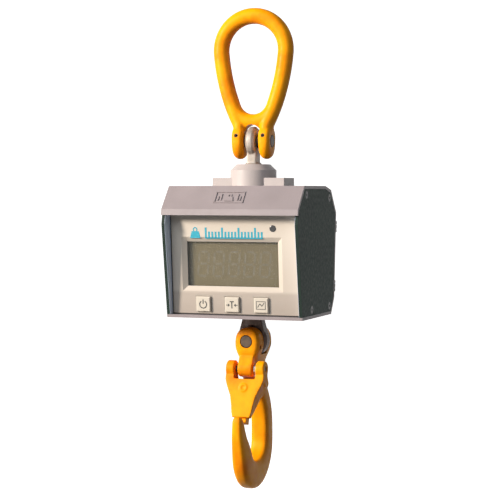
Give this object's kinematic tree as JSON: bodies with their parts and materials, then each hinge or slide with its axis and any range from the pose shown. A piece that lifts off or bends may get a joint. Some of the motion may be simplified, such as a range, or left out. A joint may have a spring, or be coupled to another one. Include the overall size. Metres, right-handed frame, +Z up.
{
  "type": "crane scale",
  "caption": "Crane scale with a forged suspension link above, an indicator housing around a load cell, and a latched load hook below.",
  "frame": {"origin": "inner crown of the suspension link, where the crane's hook bears", "axes": "+Z up along the load line, +X to the right of a person reading the display, -Y out of the display"},
  "size_m": [0.14, 0.1348, 0.4795],
  "materials": {
    "forged_paint": "satin powder coat over a forging",
    "pin_steel": "blackened steel",
    "eye_steel": "zinc plated",
    "lower_eye_steel": "bare steel, dulled",
    "cell_steel": "machined",
    "flange_paint": "light paint",
    "shell_paint": "light grey textured paint",
    "plate_paint": "dark grey textured paint",
    "black_screws": "black oxide",
    "cream_plastic": "fine texture",
    "black_rubber": "matt",
    "clear_window": "clear polycarbonate",
    "black_plastic": "moulded",
    "lens_plastic": "dark lens",
    "lcd": "unpowered liquid crystal glass",
    "diffuser": "milky",
    "board": "solder mask",
    "chips": "moulded",
    "brass_parts": "plated",
    "zinc_parts": "zinc plated",
    "cells": "printed sleeve",
    "cable": "sheathed"
  },
  "bodies": {
    "top_link": {"top_link": "forged_paint", "top_load_pin": "pin_steel", "top_lock_pins": "pin_steel"},
    "housing": {"upper_eye": "eye_steel", "top_flange": "flange_paint", "flange_screws": "pin_steel", "collar_seal": "black_rubber", "load_cell": "cell_steel", "gauge_covers": "cell_steel", "shank_pins": "pin_steel", "lower_eye": "lower_eye_steel", "bottom_seal": "black_rubber", "housing_shell": "shell_paint", "side_plate_left": "plate_paint", "side_plate_right": "plate_paint", "side_screws_left": "black_screws", "side_screws_right": "black_screws", "front_bezel": "cream_plastic", "bezel_seal": "black_rubber", "display_window": "clear_window", "lcd_frame": "black_plastic", "lcd_panel": "lcd", "backlight": "diffuser", "main_pcb": "board", "pcb_components": "chips", "pcb_standoffs": "brass_parts", "pcb_screws": "zinc_parts", "keypad_mat": "black_rubber", "sensor_lens": "lens_plastic", "battery_holder": "black_plastic", "battery_contacts": "brass_parts", "batteries": "cells", "door_gasket": "black_rubber", "hinge_brackets": "plate_paint", "hinge_pins": "zinc_parts", "rivet_nut": "zinc_parts", "signal_cable": "cable", "battery_lead": "cable"},
    "key_power": {"key_power": "cream_plastic"},
    "key_tare": {"key_tare": "cream_plastic"},
    "key_hold": {"key_hold": "cream_plastic"},
    "battery_door": {"battery_door": "plate_paint"},
    "door_thumbscrew": {"door_thumbscrew": "black_screws"},
    "hook": {"hook_body": "forged_paint", "lower_load_pin": "pin_steel", "lower_lock_pins": "pin_steel", "latch_pin": "pin_steel", "latch_spring": "zinc_parts"},
    "latch": {"latch": "forged_paint"}
  },
  "joints": [
    {"name": "housing_swing", "type": "hinge", "parent": "top_link", "child": "housing", "pos_m": [0, 0, -0.1165], "axis": [1, 0, 0], "range_deg": [-90, 90]},
    {"name": "key_power_press", "type": "slide", "parent": "housing", "child": "key_power", "axis": [0, 0.9971, 0.076], "range_m": [0, 0.0012], "stiffness_N_per_m": 300},
    {"name": "key_tare_press", "type": "slide", "parent": "housing", "child": "key_tare", "axis": [0, 0.9971, 0.076], "range_m": [0, 0.0012], "stiffness_N_per_m": 300},
    {"name": "key_hold_press", "type": "slide", "parent": "housing", "child": "key_hold", "axis": [0, 0.9971, 0.076], "range_m": [0, 0.0012], "stiffness_N_per_m": 300},
    {"name": "battery_door_hinge", "type": "hinge", "parent": "housing", "child": "battery_door", "pos_m": [0.066, 0.05539, -0.23109], "axis": [0, -0.0699, -0.9976], "range_deg": [0, 110]},
    {"name": "thumbscrew_turn", "type": "hinge", "parent": "battery_door", "child": "door_thumbscrew", "pos_m": [-0.0615, 0.05659, -0.23117], "axis": [0, 0.9976, -0.0699], "continuous": true},
    {"name": "hook_swing", "type": "hinge", "parent": "housing", "child": "hook", "pos_m": [0, 0, -0.315], "axis": [0, 1, 0], "range_deg": [-75, 75]},
    {"name": "latch_hinge", "type": "hinge", "parent": "hook", "child": "latch", "pos_m": [0, -0.019, -0.342], "axis": [1, 0, 0], "range_deg": [0, 30], "stiffness_Nm_per_rad": 0.15, "springref_deg": -22.92}
  ]
}
